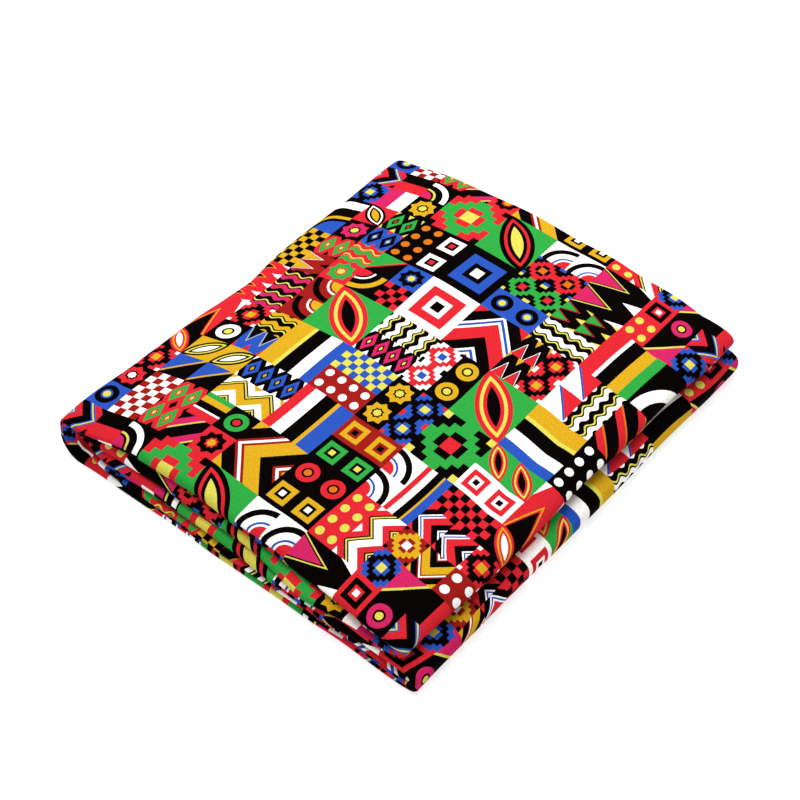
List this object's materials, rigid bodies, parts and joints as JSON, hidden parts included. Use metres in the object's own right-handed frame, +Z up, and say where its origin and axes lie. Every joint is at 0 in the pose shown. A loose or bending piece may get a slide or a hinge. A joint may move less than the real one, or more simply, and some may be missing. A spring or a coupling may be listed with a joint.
{
  "type": "folded wax print fabric",
  "caption": "Uncut length of printed cotton, folded up and shut like a book: a tall fold along one side, stacked turns opposite, layered folded edges between. It lies flat.",
  "frame": {"origin": "centre of the bounding box's base, on the flat underside that the cloth rests on", "axes": "+X across the folds, from the full-height fold (the spine) to the half-height turns; +Y along the folds; +Z up from the surface"},
  "size_m": [0.267, 0.3024, 0.032],
  "materials": {
    "printed_cotton": "plain-weave cotton with a smooth calendered face, printed all over in bright colours on black"
  },
  "bodies": {
    "root": {"outer_stretch": "printed_cotton", "inner_stretch": "printed_cotton"}
  },
  "joints": []
}
